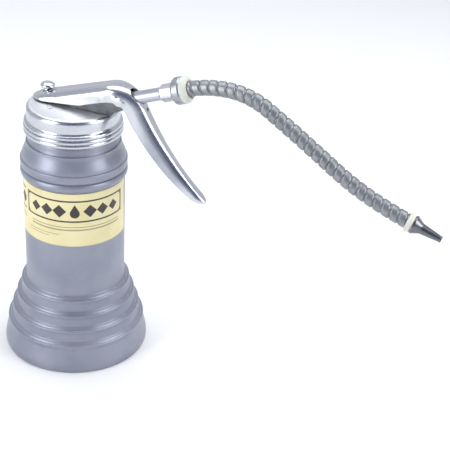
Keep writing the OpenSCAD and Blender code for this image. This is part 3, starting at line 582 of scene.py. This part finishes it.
def printed_label():
    """Pale yellow paper with a black frame, a drop between diamonds and plain rules; nothing is lettered."""
    n = Nodes("label_paper", Coat_Weight=0.25, Coat_Roughness=0.35)
    x, y, z = n.xyz()
    angle = n.math("DIVIDE", n.math("ARCTAN2", y, x), TAU)
    shifted = n.math("SUBTRACT", n.times(angle, 360), PANEL_AT)
    start = -PANEL_HALF - PANEL_GAP
    panel = n.math("WRAP", n.math("WRAP", shifted, start, 360 + start), start, -start)
    u = n.times(panel, TUBE_R * TAU / 360)
    v = n.math("SUBTRACT", z, FRAME_MID)
    half_u = PANEL_HALF * TUBE_R * TAU / 360

    def distance(cu, cv, hu, hv, r):
        """How far outside a rounded box a point is."""
        du = n.math("MAXIMUM", n.math("SUBTRACT", n.math("ABSOLUTE", n.math("SUBTRACT", u, cu)), hu - r), 0)
        dv = n.math("MAXIMUM", n.math("SUBTRACT", n.math("ABSOLUTE", n.math("SUBTRACT", v, cv)), hv - r), 0)
        square = n.math("ADD", n.times(du, du), n.times(dv, dv))
        return n.math("SUBTRACT", n.math("SQRT", square), r)

    def inside(value, limit=0.0, soft=0.06):
        """1 where value is under limit, with a soft edge."""
        return n.span(value, limit - soft, limit + soft, 1.0, 0.0)

    def union(*masks):
        """The strongest of several masks."""
        total = masks[0]
        for mask in masks[1:]:
            total = n.math("MAXIMUM", total, mask)
        return total

    rim = distance(0, 0, half_u - 0.6, FRAME_HALF - 0.35, 2.6)
    box_edge = distance(0, 0, half_u, FRAME_HALF, 0.05)
    corner = n.times(inside(box_edge), n.math("SUBTRACT", 1.0, inside(rim, 0.35)))
    line = inside(n.math("ABSOLUTE", n.math("ADD", rim, 0.1)), 0.42)
    marks = [line, n.times(corner, 0.92)]
    # A drop: a disc with a pointed top
    ring = distance(0, -1.1, 2.4, 2.4, 2.4)
    slope = n.math("ADD", n.times(n.math("ABSOLUTE", u), 1.75), n.math("SUBTRACT", v, 3.9))
    point = n.times(inside(slope), inside(n.times(v, -1.0), 0.2))
    marks += [inside(ring), point]
    # Three diamonds on each side, smaller outwards
    for side in (-1, 1):
        for i, size in enumerate((2.9, 2.6, 2.3)):
            at = side * (7.6 + 6.6 * i)
            spread = n.math("ADD", n.math("ABSOLUTE", n.math("SUBTRACT", u, at)), n.math("ABSOLUTE", v))
            marks.append(inside(spread, size + 0.6))
    # Plain rules: middle, half size, darkness
    for cu, cv, hu, hv, dark in ((0.5, -8.7, 24.5, 0.16, 0.8), (0.5, -10.3, 24.5, 0.42, 0.55),
                                 (-17.0, -13.1, 9.0, 0.13, 0.7), (-19.5, -14.5, 6.5, 0.13, 0.7)):
        marks.append(n.times(inside(distance(cu, cv, hu, hv, 0.1)), dark))
    ink = union(*marks)
    fibre = n.noise(1.6, 4, 0.7)
    worn = n.span(n.noise(0.8, 5, 0.7), 0.30, 0.42)
    ink = n.times(ink, n.math("MULTIPLY_ADD", worn, 0.12, 0.88))
    yellowing = n.span(n.noise(0.07, 3, 0.5), 0.35, 0.65)
    paper = n.mix(yellowing, (0.66, 0.59, 0.30, 1), (0.72, 0.65, 0.37, 1))
    paper = n.mix(n.times(n.span(fibre, 0.5, 0.8), 0.25), paper, (0.86, 0.80, 0.52, 1))
    rim_dirt = union(n.span(z, LABEL_LOW, LABEL_LOW + 0.5, 1, 0), n.span(z, LABEL_HIGH - 0.5, LABEL_HIGH))
    paper = n.mix(n.times(rim_dirt, 0.35), paper, (0.42, 0.36, 0.18, 1))
    color = n.mix(ink, paper, (0.022, 0.018, 0.015, 1))
    gloss = n.math("MULTIPLY_ADD", fibre, 0.15, 0.38)
    return n.set(Base_Color=color, Roughness=gloss, Normal=n.bump(fibre, 0.012, 0.5, n.bump(ink, 0.01, 0.4)))


def wrapped_sheet(low, high, start, sweep, inner_r, thick, columns=192, corner=0.8):
    """A thin sheet round Z with softly rounded corners."""
    verts, faces = [], []
    arc = math.radians(sweep) * inner_r
    height = high - low
    rows = [0, 0.1, 0.3, 0.6, 1] + [1 + (height - 2) * k / 6 for k in range(1, 6)]
    rows += [height - x for x in (1, 0.6, 0.3, 0.1, 0)]
    near_ends = {x for inset in (0.1, 0.3, 0.6) for x in (inset, arc - inset)}
    across_at = sorted({arc * k / columns for k in range(columns + 1)} | near_ends)
    for a in across_at:
        inset = min(a, arc - a)
        trim = corner - math.sqrt(max(0, corner ** 2 - (corner - inset) ** 2)) if inset < corner else 0
        turn = math.radians(start) + a / inner_r
        for r in (inner_r, inner_r + thick):
            for h in rows:
                z = low + trim + (height - 2 * trim) * h / height
                verts.append((r * math.cos(turn), r * math.sin(turn), z))
    n, m = len(rows), len(across_at)

    def add_face(*corners):
        """corners are (column, side, row); side 0 is the inner face."""
        faces.append([(i * 2 + side) * n + j for i, side, j in corners])

    for i in range(m - 1):
        for j in range(n - 1):
            for side in (0, 1):
                add_face((i, side, j), (i + 1, side, j), (i + 1, side, j + 1), (i, side, j + 1))
        for j in (0, n - 1):
            add_face((i, 0, j), (i + 1, 0, j), (i + 1, 1, j), (i, 1, j))
    for i in (0, m - 1):
        for j in range(n - 1):
            add_face((i, 0, j), (i, 1, j), (i, 1, j + 1), (i, 0, j + 1))
    return verts, faces


sheet = wrapped_sheet(LABEL_LOW, LABEL_HIGH, LABEL_END - LABEL_WRAP, LABEL_WRAP, TUBE_R + 0.02, LABEL_T)
label = solid("paper_label", *sheet)
finish_piece(label, "can", printed_label(), ["label"])


# ---------------------------------------------------------------- cap

def cap_outline():
    """The cap's section: rolled beads, plain wall, rounded corner, flat top and open inside."""
    out = [(CAP_INNER + 1.2, CAP_LOW + 0.3), (CAP_INNER + 1.35, CAP_LOW), (CAP_BEAD_R - 0.6, CAP_LOW)]
    for i in range(BEADS):
        crest = CAP_BEAD_R - 0.3 * max(0, i - 1) ** 2
        middle = BEAD_LOW + BEAD_STEP * i
        for k in range(-8, 9):
            a = math.pi / 2 * k / 8
            out.append((crest - BEAD_DEPTH * (1 - math.cos(a)), middle + BEAD_HALF * math.sin(a)))
    out += [(CAP_R + 0.1, 127.9), (CAP_R - 0.1, 128.35), (CAP_R - 0.06, 128.8), (CAP_R, 129.3)]
    out += [(CAP_R + CAP_CORNER * (math.cos(a) - 1), CAP_TOP + CAP_CORNER * (math.sin(a) - 1))
            for a in [math.pi / 2 * k / 10 for k in range(11)]]
    out += [(20.2, CAP_TOP - 0.02), (19.9, CAP_TOP - 0.12), (19.6, CAP_TOP - 0.14), (0, CAP_TOP - 0.14)]
    low = CAP_TOP - WALL
    out += [(0, low), (CAP_INNER - 0.5, low), (CAP_INNER - 0.1, low - 0.1), (CAP_INNER, low - 0.5)]
    out += [(CAP_INNER, 127.6), (CAP_INNER + 0.4, 126.4), (CAP_INNER + 1.1, 124.9), (CAP_INNER + 1.1, 122.2)]
    return out


cap = solid("cap_shell", *lathe(cap_outline(), 192), sharp=50)
cut(cap, *(drill(r, CAP_TOP - 5, CAP_TOP + 3, Matrix.Translation((x, y, 0)))
           for r, x, y in ((STEM_R + 0.02, STEM_X, 0), (2.2, ROD_X, 0), (0.8, VENT_X, VENT_Y))))
finish_piece(cap, "cap", ZINC_CAP, ["screw_cap"])

stud = rounded([(0.3, 133.4), (0.78, 133.4, 0.1), (0.78, CAP_TOP - 0.14), (1.3, CAP_TOP - 0.1, 0.1),
                (1.15, 135.4, 0.3), (0.5, 135.45, 0.1), (0.3, 135.2, 0.1)])
vent = solid("vent_button", *lathe(stud, 48), Matrix.Translation((VENT_X, VENT_Y, 0)))
finish_piece(vent, "cap", POLISHED, ["vent_stud"])


# ---------------------------------------------------------------- lever

tilt = math.radians(ARM_TILT)
arm_dir, arm_up = Vector((math.cos(tilt), math.sin(tilt))), Vector((-math.sin(tilt), math.cos(tilt)))
web_foot = Vector((FULCRUM.x, FULCRUM.z)) + WEB_OFF * arm_up
bend_start = web_foot + (BEND_X - web_foot.x) / arm_dir.x * arm_dir
arm_len = (BEND_X - REAR_X) / arm_dir.x
bend_c = bend_start - BEND_R * arm_up
bend_len = BEND_R * math.radians(BEND_TURN)
trigger_angle = tilt - math.radians(BEND_TURN)
bend_end = bend_c + BEND_R * Vector((-math.sin(trigger_angle), math.cos(trigger_angle)))
trigger_c = bend_end + TRIGGER_R * Vector((-math.sin(trigger_angle), math.cos(trigger_angle)))
path_len = arm_len + bend_len + TRIGGER_LEN


def lever_path(s):
    """Point (x, z) on the front of the lever's web at distance s from its rear, and the direction there."""
    if s < arm_len:
        return bend_start + (s - arm_len) * arm_dir, tilt
    if s < arm_len + bend_len:
        a = tilt - (s - arm_len) / BEND_R
        return bend_c + BEND_R * Vector((-math.sin(a), math.cos(a))), a
    a = trigger_angle + (s - arm_len - bend_len) / TRIGGER_R
    return trigger_c + TRIGGER_R * Vector((math.sin(a), -math.cos(a))), a


def lever_point(s, y, depth):
    """Point at distance s along the web, y to the side and depth below its front."""
    p, a = lever_path(s)
    return (p.x + depth * math.sin(a), y, p.y - depth * math.cos(a))


def lever_half(s):
    """Half of the lever's width at distance s from its rear."""
    x = lever_path(s)[0].x
    taper = TRIGGER_TAPER * max(0, x - TAPER_X) / TAPER_RUN
    return ARM_HALF - (ARM_HALF - TRIGGER_HALF) * ease((x - NECKING_X) / NECKING_RUN) - taper


def pressed(x, z):
    """How far the flange swells round the fulcrum and round the rib behind it."""
    fulcrum = math.hypot(x - FULCRUM.x, z - FULCRUM.z)
    rib = math.hypot((x - RIB_X) * 1.15, (z - RIB_Z) * 0.75)
    return 0.75 * math.exp(-(fulcrum / 2.9) ** 4) + 0.55 * math.exp(-(rib / 2.5) ** 2)


CROWN_LOW, CROWN_RISE, CROWN_FROM, CROWN_RUN = 4.2, 2.6, 44, 24


def crown_at(s, depth):
    """How far the web is arched: more on the trigger, and never deeper than the side."""
    return min(CROWN_LOW + CROWN_RISE * ease((s - CROWN_FROM) / CROWN_RUN), max(0.5, depth - 0.7))


def spoke(half, depth, crown, steps=18, down=10):
    """Section of one side, from the middle of the web out and down to the flange's edge and back inside.

    The web is a quarter of a superellipse, rounder on the trigger than on the arm.
    """
    flat, round_over = 2 / (3.2 - 0.6 * ease((crown - CROWN_LOW) / 2.4)), 2 / 2.1
    out = []
    for k in range(steps + 1):
        a = math.pi / 2 * k / steps
        out.append((half * math.sin(a) ** flat, crown * (1 - math.cos(a) ** round_over)))
    lip = LEVER_T / 2
    top, bottom = crown, max(crown + 0.05, depth - lip)
    out += [(half, top + (bottom - top) * k / down) for k in range(1, down + 1)]
    out += [(half - lip + lip * math.cos(a), bottom + lip * math.sin(a))
            for a in [math.pi * k / 5 for k in range(1, 5)]]
    inner_half, inner_crown = half - LEVER_T, max(0.15, crown - 0.5 * LEVER_T)
    out += [(inner_half, bottom + (LEVER_T + inner_crown - bottom) * k / down) for k in range(down)]
    for k in reversed(range(steps + 1)):
        a = math.pi / 2 * k / steps
        rise = inner_crown * (1 - math.cos(a) ** round_over)
        out.append((inner_half * math.sin(a) ** flat, LEVER_T + rise))
    return out


REAR_S, TIP_S = (ARM_HALF - 0.08) / math.cos(tilt), path_len - TIP_R
REAR_STEPS, MIDDLE_STEPS, TIP_STEPS = 14, 150, 10


def lever_mesh():
    """The lever's channel: a fan of sections round its rear, sections along it and a fan round its tip."""
    verts, faces = [], []

    def add_spoke(centre_s, half, depth, along, side, stretch):
        """along is how far the spoke turns from straight across towards the rear or the tip."""
        row = []
        for y, d in spoke(half, depth, crown_at(centre_s, depth)):
            s = centre_s + y * math.sin(along) * stretch
            w = side * y * math.cos(along)
            x, _, z = lever_point(s, w, d)
            swell = pressed(x, z) * (1 if y > half - 0.05 else 0) * abs(math.cos(along))
            row.append(len(verts))
            verts.append((x, w + side * swell, z))
        return row

    sides = {1: [], -1: []}
    for side, rows in sides.items():
        for k in range(REAR_STEPS, 0, -1):
            a = math.pi / 2 * k / REAR_STEPS
            depth = EDGE_DEPTH + (REAR_DEPTH - EDGE_DEPTH) * (1 - math.sin(a))
            rows.append(add_spoke(REAR_S, ARM_HALF, depth, -a, side, 1 / math.cos(tilt)))
        for k in range(MIDDLE_STEPS + 1):
            s = REAR_S + (TIP_S - REAR_S) * k / MIDDLE_STEPS
            rows.append(add_spoke(s, lever_half(s), between(s, FLANGE), 0, side, 1))
        tip_half, tip_depth = lever_half(TIP_S), between(TIP_S, FLANGE)
        for k in range(1, TIP_STEPS + 1):
            a = math.pi / 2 * k / TIP_STEPS
            depth = tip_depth + (TIP_DEPTH - tip_depth) * math.sin(a)
            rows.append(add_spoke(TIP_S, tip_half, depth, a, side, TIP_R / tip_half))
    for rows in sides.values():
        for r0, r1 in zip(rows, rows[1:]):
            for i in range(len(r0) - 1):
                faces.append((r0[i], r0[i + 1], r1[i + 1], r1[i]))
    return verts, faces


lever = solid("lever_shell", *lever_mesh(), sharp=60)
hole_at = web_foot - ROD_HOLE_BACK * arm_dir
spout_zero = Vector((FULCRUM.x, FULCRUM.z - SPOUT_DROP))
spout_rad = math.radians(SPOUT_TILT)
travel = math.radians(joints["lever_squeeze"]["range_deg"][1])


def slot_cutter(radius, near, far, half_steps=16):
    """The space that the spout tube sweeps through the lever as it turns on its fulcrum."""
    verts, loops = [], []
    for u in (near, far):
        loop = []
        for turn, start in ((0.0, math.pi), (travel, 0.0)):
            c, s = math.cos(turn), math.sin(turn)
            for k in range(half_steps + 1):
                a = start + math.pi * k / half_steps
                y, n = radius * math.cos(a), radius * math.sin(a)
                x = u * math.cos(spout_rad) - n * math.sin(spout_rad)
                z = u * math.sin(spout_rad) + n * math.cos(spout_rad) - SPOUT_DROP
                loop.append(len(verts))
                verts.append((FULCRUM.x + x * c - z * s, y, FULCRUM.z + x * s + z * c))
        loops.append(loop)
    first, last = loops
    faces = [(first[k - 1], first[k], last[k], last[k - 1]) for k in range(len(first))]
    return solid("cutter", verts, faces + [tuple(first), tuple(last)])


# The rod's hole, the spout's slot, and a small round hole in the bend
cut(lever,
    drill(ROD_HOLE_R, -3, 3, Matrix.Translation((hole_at.x, 0, hole_at.y)) @ Matrix.Rotation(-tilt, 4, "Y")),
    slot_cutter(SPOUT_R + 0.4, 3.0, 16.0),
    drill(1.2, -3, 3, Matrix.Translation((40, 0, 140.6)) @ Matrix.Rotation(math.radians(60), 4, "Y")))
finish_piece(lever, "lever", ZINC_LEVER, ["lever"])

head = rounded([(0, 3.4), (PIN_R - 0.1, 3.4), (PIN_R, 3.5), (PIN_R, 6.9), (2.35, 7.0, 0.2), (2.2, 7.6, 0.5),
                (0, 7.85)])
for side, tag in ((-1, "right"), (1, "left")):
    stud = solid("fulcrum_stud_" + tag, *lathe(head, 48), across(FULCRUM.x, FULCRUM.z, side))
    finish_piece(stud, "lever", ZINC, ["fulcrum_studs"])


# ---------------------------------------------------------------- pump

def upright_block(name, outline, half, bevel):
    """A side outline (x, z) made 2 * half wide along Y, with its edges rounded over."""
    bm = bmesh.new()
    ring = [bm.verts.new((x * MM, -half * MM, z * MM)) for x, z in outline]
    face = bm.faces.new(ring)
    made = bmesh.ops.extrude_face_region(bm, geom=[face])["geom"]
    moved = [v for v in made if isinstance(v, bmesh.types.BMVert)]
    bmesh.ops.translate(bm, vec=(0, 2 * half * MM, 0), verts=moved)
    bmesh.ops.recalc_face_normals(bm, faces=bm.faces)
    bmesh.ops.bevel(bm, geom=list(bm.edges), offset=bevel * MM, segments=3, profile=0.5, affect="EDGES")
    mesh = bpy.data.meshes.new(name)
    bm.to_mesh(mesh)
    bm.free()
    obj = bpy.data.objects.new(name, cleaned(mesh, 50))
    scene.collection.objects.link(obj)
    return obj


def on_spout(spin=0.0):
    """Placement with Z along the spout tube, from the fulcrum outwards."""
    turn = Matrix.Rotation(math.pi / 2 - spout_rad, 4, "Y") @ Matrix.Rotation(spin, 4, "Z")
    return Matrix.Translation((spout_zero.x, 0, spout_zero.y)) @ turn


# The pump head from the side, in a block whose front carries the fulcrum and the spout
head_side = [(-18.3, CAP_TOP), (20.3, CAP_TOP), (29.2, 138.9), (29.8, 142.4), (27.3, 146.4),
             (22, 147.5), (16, 146.9), (-18.3, 135.7)]
block = upright_block("pump_casting", head_side, HEAD_HALF, HEAD_BEVEL)
stem = rounded([(1.1, 129.5), (STEM_R, 129.5, 0.2), (STEM_R, CAP_TOP + 0.6), (1.1, CAP_TOP + 0.6)])
stem = solid("pump_stem", *lathe(stem, 64), Matrix.Translation((STEM_X, 0, 0)))
nose = rounded([(0, -6), (4.2, -6), (4.2, 2.6, 1.2), (3.3, 4.6, 0.8), (0, 4.6)])
nose = solid("pump_nose", *lathe(nose, 64), on_spout())
cut(block, drill(ROD_R + 0.08, 130, 142, Matrix.Translation((ROD_X, 0, 0))),
    *(drill(PIN_R + 0.06, 3.3, 6, across(FULCRUM.x, FULCRUM.z, side)) for side in (-1, 1)))
for part, material in ((block, CASTING), (stem, CASTING), (nose, ZINC_SPOUT)):
    finish_piece(part, "cap", material, ["pump_head"])

# A flattened ball, a little flatter still underneath
button = [(BUTTON_R * math.sin(a), -BUTTON_HALF * math.cos(a)) for a in [math.pi * k / 24 for k in range(25)]]
button = [(r, z if z > -1.2 else z + 0.12) for r, z in button]
button = solid("rod_knob", *lathe(button, 96), Matrix.Translation((ROD_X, 0, BUTTON_Z)))
finish_piece(button, "plunger", POLISHED, ["rod_button"])


def coil(radius, wire, low, high, turns, around=10, per_turn=28):
    """Vertices and faces of a round-wire compression spring with an even pitch."""
    count, verts = int(turns * per_turn), []
    for i in range(count + 1):
        t = i / count
        a = TAU * turns * t
        z = low + wire / 2 + (high - low - wire) * t
        for k in range(around):
            b = TAU * k / around
            r = radius + wire / 2 * math.cos(b)
            verts.append((r * math.cos(a), r * math.sin(a), z + wire / 2 * math.sin(b)))
    return verts, tube_faces(count, around)


for name, node, joint, x, radius, wire, turns in (
    ("pump_spring", "return_spring", "plunger_lift", ROD_X, 3.6, 0.9, 8),
    ("valve_spring", "outlet_spring", "outlet_valve_lift", STEM_X, 1.4, 0.4, 6),
):
    low, high = [c.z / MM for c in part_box(node)]
    spring = solid(name, *coil(radius, wire, low, high, turns), Matrix.Translation((x, 0, 0)))
    finish_piece(spring, "cap", SPRING, [node])
    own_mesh(spring)


# ---------------------------------------------------------------- spout

def hexagon(angle, r):
    """Turns the lathe's largest radius into a hexagon's flats, slightly crowned."""
    if r < HEX_HALF:
        return r
    turn = (angle + math.pi / 6) % (math.pi / 3) - math.pi / 6
    return min(r, (HEX_HALF + 0.02) / math.cos(0.7 * turn))


tube = rounded([(1.2, -3), (SPOUT_R, -3, 0.2), (SPOUT_R, HEX_FROM - 0.3, 0.15), (3.35, HEX_FROM, 0.1),
                (3.35, HEX_TO - 1), (1.2, HEX_TO - 1)])
tube = solid("spout_pipe", *lathe(tube, 96), on_spout())
finish_piece(tube, "cap", ZINC_SPOUT, ["spout_tube"])
chamfer = [(1.3, HEX_FROM + 0.05), (3.6, HEX_FROM + 0.05), (4.62, HEX_FROM + 0.75), (4.62, HEX_TO - 0.02),
           (1.3, HEX_TO - 0.02)]
nut = solid("spout_hex", *lathe(chamfer, 180, hexagon), on_spout(math.radians(30 - HEX_SPIN)), 25)
finish_piece(nut, "cap", ZINC_FITTING)

collar = rounded([(1.2, HEX_TO), (5.6, HEX_TO, 0.5), (COLLAR_R, HEX_TO + 0.9, 0.9),
                  (COLLAR_R, COLLAR_TO - 0.5, 0.5), (6.1, COLLAR_TO, 0.2), (1.2, COLLAR_TO)])
collar = solid("spout_flange", *lathe(collar, 128), on_spout())
finish_piece(collar, "cap", ZINC_FITTING, ["spout_collar"])

ring = rounded([(LINER_BORE, COLLAR_TO), (6.1, COLLAR_TO, 0.15), (RING_R, COLLAR_TO + 0.5, 0.4),
                (RING_R, COLLAR_TO + 1.5, 1.4), (4.7, RING_TO, 0.5), (3.9, RING_TO, 0.3),
                (3.75, RING_TO - 0.6), (LINER_BORE, RING_TO - 0.6)])
ring = solid("nylon_ring_rear", *lathe(ring, 128), on_spout())
finish_piece(ring, "cap", NYLON, ["rear_ring"])

LENGTHS = len(HOSE_TURN)


def arc_step(direction, turn, radius):
    """How far an arc goes as it turns away from a direction."""
    return radius * Vector((math.sin(direction + turn) - math.sin(direction),
                            math.cos(direction) - math.cos(direction + turn)))


hose_knots = [(spout_zero + RING_TO * Vector((math.cos(spout_rad), math.sin(spout_rad))), spout_rad)]
for turn in map(math.radians, HOSE_TURN):
    at, direction = hose_knots[-1]
    hose_knots.append((at + arc_step(direction, turn, HOSE_LEN / turn), direction + turn))


def hose_path(s):
    """Point (x, z) on the hose's middle at distance s, and the direction there."""
    k = min(LENGTHS - 1, max(0, int(s / HOSE_LEN)))
    at, direction = hose_knots[k]
    whole = math.radians(HOSE_TURN[k])
    turn = whole * (s - k * HOSE_LEN) / HOSE_LEN
    return at + arc_step(direction, turn, HOSE_LEN / whole), direction + turn


# Radius of the winding, as a share of the hose's, through one turn: groove, shoulder, crest, shoulder
CREST = [(0.00, 0.84), (0.06, 0.85), (0.09, 0.90), (0.12, 0.965), (0.16, 0.993), (0.21, 1.0), (0.75, 1.0),
         (0.81, 0.993), (0.86, 0.965), (0.885, 0.91), (0.91, 0.85), (0.95, 0.84), (1.0, 0.84)]


def strip_radius(s, angle):
    """Outer radius of the strip winding: flat crests with rounded shoulders and a narrow groove."""
    phase = (s / HOSE_PITCH - angle / TAU) % 1.0
    return HOSE_R * between(phase, CREST)


def hose_piece(name, k, radius, bore, material, node, step, around):
    """Stretch k of the hose. A stretch that crosses a joint is left in place without a body."""
    start, end = max(0.0, (k - 0.5) * HOSE_LEN), min(LENGTHS * HOSE_LEN, (k + 0.5) * HOSE_LEN)
    verts, faces = [], []
    count = max(2, round((end - start) / step))
    for inside in (False, True):
        for i in range(count + 1):
            s = start + (end - start) * i / count
            p, d = hose_path(s)
            for j in range(around):
                a = TAU * j / around
                r = bore if inside else radius(s, a)
                y, n = r * math.cos(a), r * math.sin(a)
                verts.append((p.x - n * math.sin(d), y, p.y + n * math.cos(d)))

    def add_face(*corners):
        """corners are (surface, ring, column); surface 0 is the outer one."""
        faces.append([(surface * (count + 1) + i) * around + j % around for surface, i, j in corners])

    for i in range(count):
        for j in range(around):
            for surface in (0, 1):
                add_face((surface, i, j), (surface, i, j + 1), (surface, i + 1, j + 1), (surface, i + 1, j))
    for i in (0, count):
        for j in range(around):
            add_face((0, i, j), (0, i, j + 1), (1, i, j + 1), (1, i, j))
    obj = solid(name, verts, faces, sharp=45)
    if 0 < k < LENGTHS:
        finish_piece(obj, None, material, [node])
        a, b = hose_path(start + 2)[0], hose_path(end - 2)[0]
        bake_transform(obj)
    else:
        finish_piece(obj, HOSE_BODIES[max(0, k - 1)], material, [node])


for k in range(LENGTHS + 1):
    number = min(k + 1, LENGTHS)
    hose_piece(f"hose_winding_{k + 1}", k, strip_radius, HOSE_BORE, HOSE, f"hose_{number}",
               step=0.22, around=60)
    hose_piece(f"hose_liner_{k + 1}", k, lambda s, angle: LINER_R, LINER_BORE, POLYTHENE,
               f"liner_{number}", step=1.0, around=24)

hose_end, end_dir = hose_path(LENGTHS * HOSE_LEN)
at_end = Matrix.Translation((hose_end.x, 0, hose_end.y)) @ Matrix.Rotation(math.pi / 2 - end_dir, 4, "Y")
bulge = [(3.75 + 0.8 * math.cos(a) ** 0.8, 1.4 + 1.36 * math.sin(a))
         for a in [math.pi * (k / 20 - 0.5) for k in range(1, 20)]]
front = [(LINER_BORE, 0.2), (3.5, 0.2), (3.62, 0.02)] + bulge + [(3.8, 2.8), (LINER_BORE, 2.8)]
front = solid("nylon_ring_front", *lathe(front, 96), at_end)
finish_piece(front, "hose_b6", NYLON, ["front_ring"])

tip = rounded([(0.7, 2.8), (4.1, 2.8, 0.15), (4.3, 3.1, 0.15), (4.3, 3.7, 0.3), (2.75, 6.6, 0.6),
               (2.62, 7.0, 0.1), (2.5, 7.1, 0.1), (1.48, 16.2, 0.3), (1.55, 16.6, 0.2), (1.5, 17.1, 0.2),
               (0.95, 17.2, 0.1), (0.7, 17.0, 0.1)])
tip = solid("nozzle_tip", *lathe(tip, 96), at_end)
finish_piece(tip, "hose_b6", DARK, ["nozzle"])


# ---------------------------------------------------------------- carried-over CAD nodes

for names, material in (
    (("pump_barrel", "foot_valve", "strainer", "piston"), BRASS),
    (("pump_body",), CASTING),
    (("suction_tube",), POLYTHENE),
    (("slip_ring",), NYLON),
    (("cap_gasket",), CORK),
    (("rod_packing", "piston_cup"), PACKING),
    (("plunger_rod", "piston_nut", "foot_ball", "outlet_ball"), POLISHED),
):
    for name in names:
        mesh = frame["nodes"][name].data
        mesh.materials.clear()
        mesh.materials.append(material)
